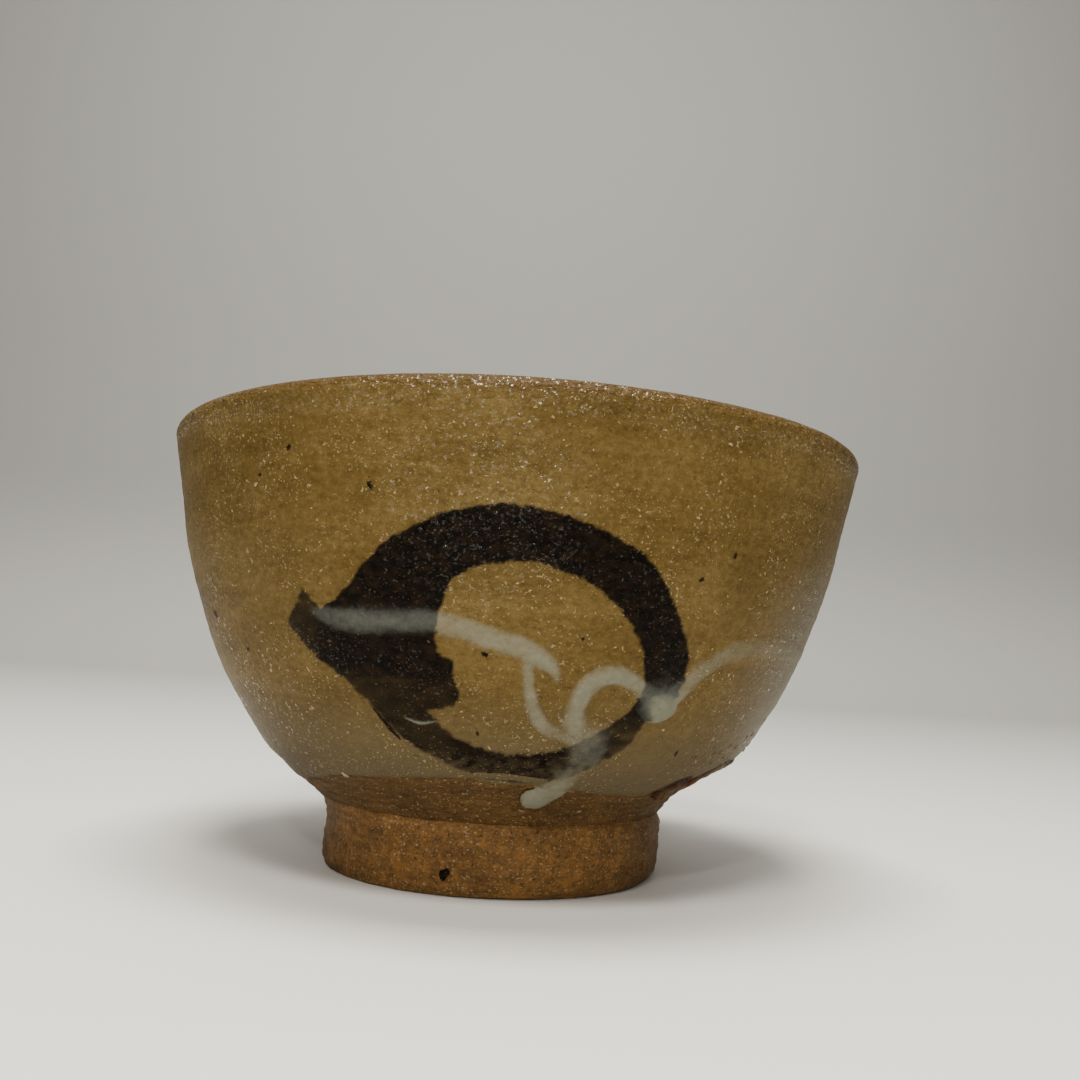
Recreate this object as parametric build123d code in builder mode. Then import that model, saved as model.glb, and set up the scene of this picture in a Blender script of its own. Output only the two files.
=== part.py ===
"""Matcha bowl (chawan): a thrown stoneware bowl on a turned foot ring, with an amber glaze
coat, a brushed iron ring and white glaze trails poured across it.

Millimetres, +Z up. The origin is the centre of the foot's resting face, and the decorated
front faces -Y. Every coat, stroke and grain is a solid of its own that touches the clay or
the coat under it face to face."""

import os
from math import cos, radians, sin

from build123d import *

# ---------------------------------------------------------------- driving dimensions
HEIGHT = 74.6  # table to the top of the lip
RIM_RADIUS = 61.0  # outside of the lip
COAT = 0.45  # thickness of the amber glaze, inside and outside
LIP_RADIUS = 2.3  # roundness of the glazed lip
LIP_OUT_ANGLE = -10  # degrees round the lip where the outer wall joins it
LIP_IN_ANGLE = 172  # degrees round the lip where the inner wall joins it

FOOT_TOP_RADIUS = 30.0
FOOT_BASE_RADIUS = 28.9
FOOT_HEIGHT = 11.5
FOOT_FACE_WIDTH = 5.0  # width of the resting face
FOOT_EDGE = 0.8  # easing of the resting face's edges
RECESS_TOP_RADIUS = 21.5
RECESS_DEPTH = 6.5
NUB_RADIUS = 3.5  # trimming nub left in the middle of the recess
NUB_HEIGHT = 1.0

POOL_RADIUS = 13.0  # tea pool pressed in the middle of the bowl's floor
POOL_FLOOR = 14.0  # height of the glazed pool over the table
POOL_EDGE = 15.4

WHITE = 0.4  # thickness of a poured white trail
FLAP = 0.9  # thickness of the torn glaze edge over the clay
REACH = 80.0  # longer than the bowl is wide, for cutting tools

# The clay's outside, from the foot junction to below the lip: (radius, height).
CLAY_OUTSIDE = [
    (FOOT_TOP_RADIUS, FOOT_HEIGHT),
    (34.9, 15.7),
    (41.2, 21.2),
    (45.8, 27.5),
    (50.1, 35.1),
    (53.8, 44.4),
    (56.7, 53.6),
    (58.2, 61.1),
    (59.6, 67.4),
]
# The glazed inside, from below the lip to the edge of the tea pool.
GLAZED_INSIDE = [
    (54.9, 61.0),
    (51.6, 48.0),
    (46.5, 36.5),
    (38.5, 26.5),
    (27.0, 19.2),
]
# Lower edge of the outer glaze as seen from the front: (x, z). It climbs to the right.
GLAZE_LINE = [
    (-REACH, 15.5),
    (-45, 15.0),
    (-28, 16.5),
    (-13, 18.7),
    (2, 19.3),
    (10, 18.6),
    (19, 17.0),
    (29, 19.0),
    (38, 22.0),
    (46, 26.0),
    (REACH, 24.0),
]

# The brushed iron ring seen from the front: (x, z), clockwise from the notch beside its horn.
RING_OUTSIDE = [
    (-26.3, 43.0),
    (-22.0, 46.8),
    (-17.0, 52.3),
    (-11.0, 55.5),
    (-2.0, 57.7),
    (8.0, 56.5),
    (17.0, 53.0),
    (23.0, 46.8),
    (26.2, 40.0),
    (25.0, 33.5),
    (20.2, 27.0),
    (14.6, 22.8),
    (5.4, 19.8),
    (-5.8, 21.0),
    (-12.4, 24.4),
    (-17.2, 29.8),
    (-21.6, 32.6),
    (-27.1, 36.0),
    (-31.2, 40.5),
    (-30.2, 43.2),
]
RING_HORN = (-28.9, 45.2)
RING_HOLE = [
    (-9.2, 43.0),
    (-7.5, 47.2),
    (-3.9, 49.3),
    (2.0, 50.2),
    (8.0, 49.1),
    (13.1, 46.5),
    (17.2, 42.6),
    (19.4, 37.5),
    (19.2, 32.6),
    (14.7, 28.4),
    (8.5, 24.9),
    (2.0, 24.0),
    (-5.5, 25.6),
    (-10.3, 29.4),
]
RING_RAGGED_END = [(-6.5, 30.0), (-5.7, 32.5), (-7.0, 35.0), (-7.3, 36.8), (-9.2, 38.4)]

# A brushed or poured trail is a list of stations (x, z, half width) in its own view plane,
# which is the bowl seen from the front turned by that trail's bearing in degrees.
IRON_HAIR = [(-18.6, 29.6, 0.15), (-16.6, 27.4, 0.35), (-14.4, 25.2, 0.15)]
TRAIL_UPPER = [
    (-27.0, 42.2, 1.0),
    (-22.5, 41.4, 1.9),
    (-14.5, 41.6, 1.9),
    (-6.2, 40.9, 1.7),
    (1.8, 39.1, 1.6),
    (5.6, 37.2, 1.3),
    (7.4, 34.8, 0.6),
]
TRAIL_LOWER = [
    (3.0, 36.6, 0.6),
    (3.7, 33.3, 1.1),
    (5.0, 29.6, 1.7),
    (8.8, 27.4, 2.6),
    (12.3, 24.6, 2.6),
    (10.7, 21.0, 2.1),
    (8.4, 17.6, 1.7),
]
TRAIL_LOOP = [
    (10.0, 30.4, 1.4),
    (11.3, 33.4, 1.5),
    (14.6, 35.7, 1.5),
    (18.4, 35.0, 1.2),
    (21.6, 32.4, 1.6),
]
TRAIL_RIGHT_BEARING = 45
TRAIL_RIGHT = [
    (-16.2, 30.4, 1.6),
    (-12.6, 34.6, 1.3),
    (-9.2, 38.4, 1.2),
    (-2.0, 40.6, 1.1),
    (8.0, 41.0, 1.2),
    (18.0, 40.4, 0.8),
]
CRESCENT = [(-13.4, 28.2, 0.1), (-11.3, 27.5, 0.25), (-9.2, 28.1, 0.1)]
FLAP_BEARING = 56
FLAP_TRAIL = [(-9.5, 15.6, 0.5), (-3.0, 15.4, 1.0), (4.0, 17.2, 1.1), (10.5, 20.0, 0.4)]

# Round drops of white glaze: (bearing, height, base radius, thickness).
DROP_RIGHT = (26.5, 31.6, 3.4, 1.1)
DROP_LOWER = (12.5, 17.4, 2.7, 1.0)
# Feldspar grains that stand out of the glaze: (bearing, height, radius).
GRAINS = [
    (29.5, 71.0, 0.9),
    (29.0, 68.6, 0.8),
    (-6.0, 61.5, 0.8),
    (-39.8, 60.2, 0.9),
    (-29.5, 59.6, 0.7),
    (-37.0, 19.5, 0.9),
    (-11.8, 59.2, 0.6),
    (26.0, 58.1, 0.7),
    (53.0, 47.5, 0.8),
    (4.2, 61.0, 0.7),
    (-82.0, 52.0, 0.8),
    (96.0, 38.0, 0.9),
    (128.0, 58.0, 0.7),
    (165.0, 44.0, 0.9),
    (-150.0, 62.0, 0.8),
    (-118.0, 34.0, 0.7),
]
# Iron spots burnt through the outer coat: (bearing, height, radius).
SPOTS = [
    (-32.8, 64.9, 0.55),
    (-38.8, 61.5, 0.4),
    (-19.8, 59.5, 0.7),
    (33.8, 53.6, 0.5),
    (28.6, 49.8, 0.5),
    (-3.0, 37.7, 0.6),
    (-4.0, 26.6, 0.4),
    (11.5, 40.6, 0.4),
    (-49.8, 36.4, 0.45),
    (-60.2, 41.5, 0.8),
    (36.8, 24.5, 0.6),
    (85.0, 60.0, 0.5),
    (112.0, 46.0, 0.6),
    (149.0, 33.0, 0.5),
    (-171.0, 55.0, 0.6),
    (-131.0, 47.0, 0.5),
    (-96.0, 28.0, 0.6),
]
FOOT_GRAIN = (-14.2, 3.6, 0.9)  # iron grain bedded in the foot ring: bearing, height, radius

# ---------------------------------------------------------------- profile curves
CLAY_LIP_RADIUS = LIP_RADIUS - COAT
LIP_CENTRE = Vector(RIM_RADIUS - LIP_RADIUS, HEIGHT - LIP_RADIUS)


def round_lip(angle, radius):
    """The point of the lip's circle at an angle, and the circle's direction there."""
    a = radians(angle)
    return LIP_CENTRE + Vector(cos(a), sin(a)) * radius, Vector(-sin(a), cos(a))


CLAY_LIP_OUT, RISING = round_lip(LIP_OUT_ANGLE, CLAY_LIP_RADIUS)
GLAZE_LIP_IN, FALLING = round_lip(LIP_IN_ANGLE, LIP_RADIUS)
OUTSIDE = Spline(*CLAY_OUTSIDE, CLAY_LIP_OUT, tangents=[(0.76, 0.65), RISING])
INSIDE = Spline(
    GLAZE_LIP_IN, *GLAZED_INSIDE, (POOL_RADIUS, POOL_EDGE), tangents=[FALLING, (-1, -0.12)]
)
STATIONS = 14  # points that carry a parallel curve


def parallel(curve, distance):
    """A curve beside another, on its right for a positive distance. Call it in a BuildLine."""
    points = []
    for i in range(STATIONS + 1):
        along = curve % (i / STATIONS)
        points.append(curve @ (i / STATIONS) + Vector(along.Y, -along.X) * distance)
    return Spline(*points, tangents=[curve % 0, curve % 1])


def outside_skin(distance):
    """The outer wall and the outer half of the lip, a distance outside the clay."""
    wall = parallel(OUTSIDE, distance)
    CenterArc(LIP_CENTRE, CLAY_LIP_RADIUS + distance, LIP_OUT_ANGLE, 90 - LIP_OUT_ANGLE)
    return wall


def inside_skin(depth):
    """The inner half of the lip, the inner wall and the tea pool, a depth under the glaze."""
    CenterArc(LIP_CENTRE, LIP_RADIUS - depth, 90, LIP_IN_ANGLE - 90)
    wall = parallel(INSIDE, -depth)
    pool = Spline(wall @ 1, (0, POOL_FLOOR - depth), tangents=[(-1, -0.12), (-1, 0)])
    return pool


def surface_point(bearing, height, above=0.0):
    """A point of the glazed outside at a bearing from the front and its outward direction."""
    low, high = 0.0, 1.0
    while high - low > 1e-6:
        middle = (low + high) / 2
        if (OUTSIDE @ middle).Y < height:
            low = middle
        else:
            high = middle
    along = OUTSIDE % low
    a = radians(bearing - 90)
    radius = (OUTSIDE @ low).X + along.Y * (COAT + above)
    level = (OUTSIDE @ low).Y - along.X * (COAT + above)
    outward = Vector(along.Y * cos(a), along.Y * sin(a), -along.X)
    return Vector(radius * cos(a), radius * sin(a), level), outward


def facing(bearing):
    """The upright plane through the bowl's axis, seen square from a bearing off the front."""
    return Plane.XZ.rotated((0, 0, bearing))


# ---------------------------------------------------------------- shapes that cut the coats
def coat_band(distance, thickness):
    """A skin of even thickness round the whole outside, a distance outside the clay."""
    with BuildPart() as band:
        with BuildSketch(Plane.XZ):
            with BuildLine():
                near = outside_skin(distance)
                far = outside_skin(distance + thickness)
                lip_top = LIP_CENTRE + Vector(0, CLAY_LIP_RADIUS + distance)
                Line(near @ 0, far @ 0)
                Line(lip_top, lip_top + Vector(0, thickness))
            make_face()
        revolve(axis=Axis.Z)
    return band.part


def trail_prism(stations, bearing=0.0):
    """A trail's outline pushed out from the bowl's axis through its wall."""
    middles = [Vector(x, z) for x, z, _ in stations]
    sides = {1: [], -1: []}
    for i, (_, _, half_width) in enumerate(stations):
        along = (middles[min(i + 1, len(middles) - 1)] - middles[max(i - 1, 0)]).normalized()
        for side, points in sides.items():
            points.append(middles[i] + Vector(-along.Y, along.X) * half_width * side)
    first, last = stations[0][2], stations[-1][2]
    start = middles[0] - (middles[1] - middles[0]).normalized() * first
    end = middles[-1] + (middles[-1] - middles[-2]).normalized() * last
    with BuildPart() as prism:
        with BuildSketch(facing(bearing)):
            with BuildLine():
                Spline(*sides[1])
                Spline(*sides[-1])
                ThreePointArc(sides[1][0], start, sides[-1][0])
                ThreePointArc(sides[1][-1], end, sides[-1][-1])
            make_face()
        extrude(amount=REACH)
    return prism.part


def spot_prisms(spots):
    """Round pins square to the outer wall, one for each iron spot."""
    with BuildPart() as pins:
        for bearing, height, radius in spots:
            centre, outward = surface_point(bearing, height)
            with BuildSketch(Plane(centre, z_dir=outward)):
                Circle(radius)
            extrude(amount=2 * COAT, both=True)
    return pins.part


def drop(bearing, height, radius, thickness):
    """A round drop of glaze on the outer coat, shaped as the cap of a ball."""
    ball = (radius**2 + thickness**2) / (2 * thickness)
    centre, _ = surface_point(bearing, height, thickness - ball)
    with BuildPart() as cap:
        with Locations(centre):
            Sphere(ball)
        add(glazed_body, mode=Mode.SUBTRACT)
    return cap.part


with BuildPart() as glazed_block:
    with BuildSketch(Plane.XZ):
        with BuildLine():
            wall = outside_skin(COAT)
            lip_top = LIP_CENTRE + Vector(0, LIP_RADIUS)
            Polyline(lip_top, (0, HEIGHT), (0, 0), (FOOT_BASE_RADIUS, 0), wall @ 0)
        make_face()
    revolve(axis=Axis.Z)
glazed_body = glazed_block.part

with BuildPart() as below_glaze_line:
    with BuildSketch(Plane.XZ):
        with BuildLine():
            edge = Spline(*GLAZE_LINE)
            Polyline(edge @ 0, (-REACH, -1), (REACH, -1), edge @ 1)
        make_face()
    extrude(amount=REACH, both=True)

with BuildPart() as ring_prism:
    with BuildSketch(Plane.XZ):
        with BuildLine():
            rim = Spline(*RING_OUTSIDE)
            Polyline(rim @ 1, RING_HORN, rim @ 0)
        make_face()
        with BuildLine():
            curve = Spline(*RING_HOLE)
            Spline(curve @ 1, *RING_RAGGED_END, curve @ 0)
        make_face(mode=Mode.SUBTRACT)
    extrude(amount=REACH)

with BuildPart() as foot_blank:
    with BuildSketch(Plane.XZ):
        with BuildLine():
            Polyline(
                CLAY_OUTSIDE[0],
                (FOOT_BASE_RADIUS, 0),
                (FOOT_BASE_RADIUS - FOOT_FACE_WIDTH, 0),
                (RECESS_TOP_RADIUS, RECESS_DEPTH),
                close=True,
            )
        make_face()
    revolve(axis=Axis.Z)
    resting_edges = foot_blank.edges().group_by(Axis.Z)[0]
    fillet(resting_edges, FOOT_EDGE)

grain_bearing, grain_height, grain_radius = FOOT_GRAIN
foot_lean = (FOOT_TOP_RADIUS - FOOT_BASE_RADIUS) / FOOT_HEIGHT
foot_radius = FOOT_BASE_RADIUS + foot_lean * grain_height
grain_side = radians(grain_bearing - 90)
with BuildPart() as foot_grain_ball:
    with Locations((foot_radius * cos(grain_side), foot_radius * sin(grain_side), grain_height)):
        Sphere(grain_radius)

outer_coat = coat_band(0.0, COAT)
flap_coat = coat_band(0.0, FLAP)
white_coat = coat_band(COAT, WHITE)
spots_through = spot_prisms(SPOTS)
hair_prism = trail_prism(IRON_HAIR)
flap_prism = trail_prism(FLAP_TRAIL, FLAP_BEARING)
upper_prism = trail_prism(TRAIL_UPPER)
lower_prism = trail_prism(TRAIL_LOWER)
loop_prism = trail_prism(TRAIL_LOOP)
right_prism = trail_prism(TRAIL_RIGHT, TRAIL_RIGHT_BEARING)
crescent_prism = trail_prism(CRESCENT)
lower_drop = drop(*DROP_LOWER)
right_drop = drop(*DROP_RIGHT)

# ---------------------------------------------------------------- the bowl's pieces
with BuildPart() as clay_wall:
    with BuildSketch(Plane.XZ):
        with BuildLine():
            outside_skin(0.0)
            pool = inside_skin(COAT)
            nub_tip = (0, RECESS_DEPTH - NUB_HEIGHT)
            nub = Spline(nub_tip, (NUB_RADIUS, RECESS_DEPTH), tangents=[(1, 0), (1, 0.1)])
            Line(pool @ 1, nub @ 0)
            Polyline(nub @ 1, (RECESS_TOP_RADIUS, RECESS_DEPTH), CLAY_OUTSIDE[0])
        make_face()
    revolve(axis=Axis.Z)

with BuildPart() as foot_ring:
    add(foot_blank.part)
    add(foot_grain_ball.part, mode=Mode.SUBTRACT)

with BuildPart() as foot_iron_grain:
    add(foot_blank.part)
    add(foot_grain_ball.part, mode=Mode.INTERSECT)

with BuildPart() as outer_glaze:
    add(outer_coat)
    add(below_glaze_line.part, mode=Mode.SUBTRACT)
    add(ring_prism.part, mode=Mode.SUBTRACT)
    add(spots_through, mode=Mode.SUBTRACT)
    add(hair_prism, mode=Mode.SUBTRACT)

with BuildPart() as inner_glaze:
    with BuildSketch(Plane.XZ):
        with BuildLine():
            top = inside_skin(0.0)
            under = inside_skin(COAT)
            lip_top = LIP_CENTRE + Vector(0, LIP_RADIUS)
            Line(top @ 1, under @ 1)
            Line(lip_top, lip_top - Vector(0, COAT))
        make_face()
    revolve(axis=Axis.Z)

with BuildPart() as iron_ring:
    add(outer_coat)
    add(ring_prism.part, mode=Mode.INTERSECT)
    add(below_glaze_line.part, mode=Mode.SUBTRACT)

with BuildPart() as iron_hair:
    add(outer_coat)
    add(hair_prism, mode=Mode.INTERSECT)
    add(ring_prism.part, mode=Mode.SUBTRACT)

with BuildPart() as iron_spots:
    add(outer_coat)
    add(spots_through, mode=Mode.INTERSECT)
    add(ring_prism.part, mode=Mode.SUBTRACT)

with BuildPart() as white_trail_right:
    add(white_coat)
    add(right_prism, mode=Mode.INTERSECT)
    add(right_drop)

with BuildPart() as white_trail_loop:
    add(white_coat)
    add(loop_prism, mode=Mode.INTERSECT)
    add(white_trail_right.part, mode=Mode.SUBTRACT)

with BuildPart() as white_trail_lower:
    add(white_coat)
    add(lower_prism, mode=Mode.INTERSECT)
    add(lower_drop)
    add(white_trail_loop.part, mode=Mode.SUBTRACT)

with BuildPart() as white_trail_upper:
    add(white_coat)
    add(upper_prism, mode=Mode.INTERSECT)
    add(white_trail_lower.part, mode=Mode.SUBTRACT)

with BuildPart() as white_fleck:
    add(white_coat)
    add(crescent_prism, mode=Mode.INTERSECT)

with BuildPart() as torn_glaze_edge:
    add(flap_coat)
    add(flap_prism, mode=Mode.INTERSECT)
    add(outer_glaze.part, mode=Mode.SUBTRACT)

with BuildPart() as feldspar_grains:
    for bearing, height, radius in GRAINS:
        centre, _ = surface_point(bearing, height, -radius / 2)
        with Locations(centre):
            Sphere(radius)
    add(glazed_body, mode=Mode.SUBTRACT)

# ---------------------------------------------------------------- write each piece
os.makedirs("parts", exist_ok=True)
clay_wall.part.label = "clay_wall"
export_step(clay_wall.part, "parts/clay_wall.step")
foot_ring.part.label = "foot_ring"
export_step(foot_ring.part, "parts/foot_ring.step")
foot_iron_grain.part.label = "foot_iron_grain"
export_step(foot_iron_grain.part, "parts/foot_iron_grain.step")
outer_glaze.part.label = "outer_glaze"
export_step(outer_glaze.part, "parts/outer_glaze.step")
inner_glaze.part.label = "inner_glaze"
export_step(inner_glaze.part, "parts/inner_glaze.step")
iron_ring.part.label = "iron_ring"
export_step(iron_ring.part, "parts/iron_ring.step")
iron_hair.part.label = "iron_hair"
export_step(iron_hair.part, "parts/iron_hair.step")
iron_spots.part.label = "iron_spots"
export_step(iron_spots.part, "parts/iron_spots.step")
white_trail_upper.part.label = "white_trail_upper"
export_step(white_trail_upper.part, "parts/white_trail_upper.step")
white_trail_lower.part.label = "white_trail_lower"
export_step(white_trail_lower.part, "parts/white_trail_lower.step")
white_trail_loop.part.label = "white_trail_loop"
export_step(white_trail_loop.part, "parts/white_trail_loop.step")
white_trail_right.part.label = "white_trail_right"
export_step(white_trail_right.part, "parts/white_trail_right.step")
white_fleck.part.label = "white_fleck"
export_step(white_fleck.part, "parts/white_fleck.step")
torn_glaze_edge.part.label = "torn_glaze_edge"
export_step(torn_glaze_edge.part, "parts/torn_glaze_edge.step")
feldspar_grains.part.label = "feldspar_grains"
export_step(feldspar_grains.part, "parts/feldspar_grains.step")
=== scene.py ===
"""Matcha bowl: the glazed look over the CAD frame.

The finished pieces are in metres in the row frame, as the CAD is. The shapes are worked out in
millimetres, which MM turns into metres. The decorated front faces -Y, and a bearing is an angle
in degrees off the front, towards +X."""

from math import asin, cos, pi, radians, sin

import bpy
import numpy as np
from mathutils import Matrix, Vector


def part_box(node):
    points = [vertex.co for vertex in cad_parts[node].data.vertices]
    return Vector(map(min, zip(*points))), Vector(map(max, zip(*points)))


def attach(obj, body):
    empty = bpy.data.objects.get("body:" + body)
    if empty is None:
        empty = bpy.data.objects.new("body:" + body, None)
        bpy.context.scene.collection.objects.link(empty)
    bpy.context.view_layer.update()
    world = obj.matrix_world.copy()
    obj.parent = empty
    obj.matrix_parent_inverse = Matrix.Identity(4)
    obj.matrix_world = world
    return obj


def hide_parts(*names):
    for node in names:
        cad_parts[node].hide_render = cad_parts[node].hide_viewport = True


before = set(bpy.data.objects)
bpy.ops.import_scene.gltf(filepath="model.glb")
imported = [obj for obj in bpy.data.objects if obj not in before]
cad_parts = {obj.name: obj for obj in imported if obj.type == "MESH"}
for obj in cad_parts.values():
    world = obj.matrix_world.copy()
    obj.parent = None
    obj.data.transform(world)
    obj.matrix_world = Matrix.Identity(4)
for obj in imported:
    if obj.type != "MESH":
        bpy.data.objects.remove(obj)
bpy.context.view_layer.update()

MM = 0.001

# ---- sizes from the frame
_, rim_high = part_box("outer_glaze")
_, foot_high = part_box("foot_ring")
RIM = rim_high[0] / MM  # outside radius of the lip
TOP = rim_high[2] / MM  # height of the lip
FOOT_TOP = foot_high[2] / MM  # height of the foot ring
FOOT_RADIUS = foot_high[0] / MM  # radius of the foot ring's top
LIP = 2.3  # roundness of the lip
COAT = 0.45  # thickness of the glaze
FILM = 0.05  # thickness of the film that carries a stroke, a spot or a pour
SUNK = 0.02  # how far the border of such a piece lies under the coat, where it can't be seen

# The glazed outside from the foot junction to below the lip, in mm: (radius, height).
OUTSIDE = [
    (FOOT_RADIUS, FOOT_TOP), (34.9, 15.8), (41.6, 20.9), (46.1, 27.2), (50.5, 34.8), (54.2, 44.1),
    (57.1, 53.4), (58.7, 61), (60, 67.2), (RIM, TOP - LIP),
]
# The glazed inside from the lip to the middle of the tea pool.
INSIDE = [
    (RIM - 2 * LIP, TOP - LIP), (54.9, 61), (51.6, 48), (46.5, 36.5), (38.5, 26.5),
    (27, 19.2), (13, 15.4), (5, 14.2), (0.05, 14),
]
# The wiped lower edge of the outer glaze: (bearing, height).
GLAZE_EDGE = [
    (-180, 19), (-140, 17), (-105, 18.5), (-68, 15.2), (-49, 16.5), (-37, 17.6), (-20, 18.7),
    (-3, 19.4), (6, 19.3), (15, 18.5), (27, 17.4), (38, 17.2), (41, 17.6), (44, 18.9), (48, 19.9),
    (51, 19.6), (55, 20.4), (60, 21.9), (64, 22.2), (68, 23.3), (73, 25.6), (90, 23),
    (125, 18), (180, 19),
]

# ---- curves and noise


def smooth_curve(points, step=0.15):
    """A smooth curve through the points with a sample about every step, as an array."""
    p = np.array(points, float)
    p = np.vstack([2 * p[0] - p[1], p, 2 * p[-1] - p[-2]])
    out = []
    for i in range(1, len(p) - 2):
        a, b, c, d = p[i - 1], p[i], p[i + 1], p[i + 2]
        span = np.hypot(*(c - b)[:2])
        tb = (c - a) * span / max(np.hypot(*(c - a)[:2]), 1e-6)
        tc = (d - b) * span / max(np.hypot(*(d - b)[:2]), 1e-6)
        t = np.linspace(0, 1, max(2, int(span / step)), endpoint=False)[:, None]
        out.append(
            (2 * t**3 - 3 * t**2 + 1) * b
            + (t**3 - 2 * t**2 + t) * tb
            + (3 * t**2 - 2 * t**3) * c
            + (t**3 - t**2) * tc
        )
    out.append(p[-2][None])
    return np.vstack(out)


def hash01(*whole):
    """A fixed pseudo-random number from 0 to 1 for each tuple of whole numbers."""
    v = np.zeros(np.shape(whole[0]))
    for k, w in zip((127.1, 311.7, 74.7, 53.3), whole):
        v = v + np.asarray(w, float) * k
    v = np.sin(v) * 43758.5453
    return v - np.floor(v)


def noise(x, y, seed=0):
    """Smooth value noise from -1 to 1 with one cell per unit."""
    x, y = np.asarray(x, float), np.asarray(y, float)
    i, j = np.floor(x), np.floor(y)
    u, v = x - i, y - j
    u, v = u * u * (3 - 2 * u), v * v * (3 - 2 * v)
    corners = [hash01(i + di, j + dj, seed) for dj in (0, 1) for di in (0, 1)]
    low = corners[0] + (corners[1] - corners[0]) * u
    high = corners[2] + (corners[3] - corners[2]) * u
    return 2 * (low + (high - low) * v) - 1


def around_noise(bearing, z, cells, height, seed=0):
    """Noise on a band round the bowl, without a seam: cells round it, one per height."""
    a = np.radians(bearing)
    k = cells / (2 * pi)
    return 0.5 * (
        noise(np.cos(a) * k + 7.3, z / height, seed)
        + noise(np.sin(a) * k + 1.9, z / height + 5.1, seed + 11)
    )


def fade(x, low, high):
    """0 below low and 1 above high, smooth between."""
    t = np.clip((np.asarray(x, float) - low) / (high - low), 0, 1)
    return t * t * (3 - 2 * t)


def bell(x, middle, width):
    """A smooth bump of height 1 round a middle."""
    return np.exp(-(((x - middle) / width) ** 2))


# ---- the thrown surface
WALL = smooth_curve(OUTSIDE)
EDGE = smooth_curve(GLAZE_EDGE, step=0.5)


def radius_at(z):
    """Radius of the true round outside at a height."""
    return np.interp(z, WALL[:, 1], WALL[:, 0])


def slope_at(z):
    """How fast the outside widens with height."""
    reach = 0.4
    return (radius_at(np.add(z, reach)) - radius_at(np.subtract(z, reach))) / (2 * reach)


def edge_height(bearing):
    """Height of the glaze's lower edge, with its small ragged waves."""
    z = np.interp(bearing, EDGE[:, 0], EDGE[:, 1])
    waves = 0.25 * around_noise(bearing, 0 * z, cells=60, height=1, seed=3)
    ripples = 0.12 * around_noise(bearing, 0 * z, cells=200, height=1, seed=4)
    return z + waves + ripples


def bulge(bearing, z):
    """By the torn glaze edge the clay is fuller at the left, and cut back under the right end."""
    full = 0.8 * np.exp(-(((bearing - 48) / 13) ** 2) - ((z - 16.5) / 2.6) ** 2)
    cut_back = 0.9 * np.exp(-(((bearing - 62) / 9) ** 2) - ((z - 17.6) / 2.6) ** 2)
    return full - cut_back


def thrown(bearing, z, inside=False):
    """How far the potter's fingers moved the round surface outwards, in mm."""
    climb = 0.7  # the rings climb a little as the wheel turns
    wide, narrow = 3.1, 1.37  # distances between rings
    turn = z + np.radians(bearing) * (climb / pi)
    wide_shift = 1.7 * around_noise(bearing, z, cells=5, height=9, seed=21)
    narrow_shift = 2.5 * around_noise(bearing, z, cells=7, height=6, seed=22)
    rings = 0.02 * np.sin(turn * 2 * pi / wide + wide_shift)
    rings += 0.012 * np.sin(turn * 2 * pi / narrow + narrow_shift)
    swell = 0.16 * around_noise(bearing, z, cells=4, height=11, seed=23)
    swell = swell + 0.06 * around_noise(bearing, z, cells=26, height=3.2, seed=24)
    if inside:
        return 3.5 * rings + swell
    return rings + swell + bulge(bearing, z)


def leaning(points):
    """The hand-made lean of the whole bowl: it isn't quite round about its foot."""
    moved = np.array(points, float)
    x, y, z = moved.T
    up = np.clip((z - 9.6) / 65, 0, 1)  # share of the way from the foot's top to the lip
    waist = np.clip(1 - np.abs(up - 0.08) / 0.12, 0, 1)
    side = x / np.maximum(np.hypot(x, y), 1e-6)
    lean = -0.72 * up + 0.62 * up**2 + 0.51 * up**3 - 1.79 * waist
    x += lean * np.clip(z / 12, 0, 1)
    z += 0.43 * up**2 * side + 0.25 * up**3 * np.sin(3 * np.arctan2(y, x) + 0.6)
    return moved


def on_wall(bearing, z, above):
    """Points on the glazed outside, a distance above it square to its slope, in mm."""
    bearing, z = np.broadcast_arrays(np.asarray(bearing, float), np.asarray(z, float))
    r, slope = radius_at(z), slope_at(z)
    length = np.hypot(1, slope)
    out = above + thrown(bearing, z)
    radius, level = r + out / length, z - out * slope / length
    a = np.radians(bearing)
    return np.stack([radius * np.sin(a), -radius * np.cos(a), level], -1)


# ---- mesh building


def new_piece(name, node, slot, material, points, faces, fields=None):
    """A smooth mesh piece from points in mm, which stands for a CAD node. fields maps the
    names of point attributes that the material reads to their values."""
    mesh = bpy.data.meshes.new(name)
    mesh.from_pydata((leaning(points) * MM).tolist(), [], faces)
    mesh.validate()
    for key, values in (fields or {}).items():
        layer = mesh.attributes.new(key, "FLOAT", "POINT")
        layer.data.foreach_set("value", np.asarray(values, np.float32))
    mesh.polygons.foreach_set("use_smooth", np.ones(len(mesh.polygons), bool))
    obj = bpy.data.objects.new(name, mesh)
    bpy.context.scene.collection.objects.link(obj)
    mesh.materials.append(material)
    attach(obj, "root")
    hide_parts(node)


def grid_faces(rows, columns, closed):
    """Quads of a grid of points, row by row; closed joins the last column to the first."""
    last = columns if closed else columns - 1
    i, j = np.meshgrid(np.arange(rows - 1), np.arange(last), indexing="ij")
    this, above = i * columns, (i + 1) * columns
    k = (j + 1) % columns
    return np.stack([this + j, this + k, above + k, above + j], -1).reshape(-1, 4)


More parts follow.
